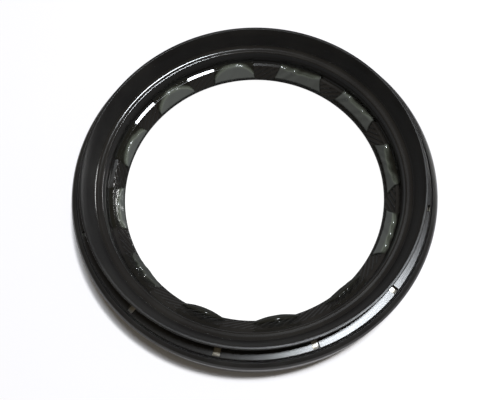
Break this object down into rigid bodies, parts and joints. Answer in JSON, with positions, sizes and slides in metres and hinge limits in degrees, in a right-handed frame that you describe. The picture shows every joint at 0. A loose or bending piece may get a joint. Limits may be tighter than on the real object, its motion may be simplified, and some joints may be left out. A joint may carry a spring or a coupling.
{
  "type": "radial shaft seal",
  "caption": "Rubber-covered ring seal with a flared side lip, a ribbed sealing lip packed with grease dabs, a garter spring and a pressed steel case",
  "frame": {"origin": "on the seal's axis, in the plane of its foot, which is the oil side that it lies on", "axes": "+Z is the seal's axis, from the oil side to the air side; +X points to the right of the picture and +Y away from the camera"},
  "size_m": [0.1, 0.1, 0.0155],
  "materials": {
    "rubber": "smooth moulded black nitrile rubber with a satin sheen",
    "case_steel": "cold-rolled sheet with a dull bonding coat",
    "spring_steel": "bright drawn spring wire",
    "grease": "wet translucent grey-green grease"
  },
  "bodies": {
    "root": {"rubber_body": "rubber", "steel_case": "case_steel", "garter_spring": "spring_steel", "grease_dab_01": "grease", "grease_dab_02": "grease", "grease_dab_03": "grease", "grease_dab_04": "grease", "grease_dab_05": "grease", "grease_dab_06": "grease", "grease_dab_07": "grease", "grease_dab_08": "grease", "grease_dab_09": "grease", "grease_dab_10": "grease", "grease_dab_11": "grease", "grease_dab_12": "grease"}
  },
  "joints": []
}
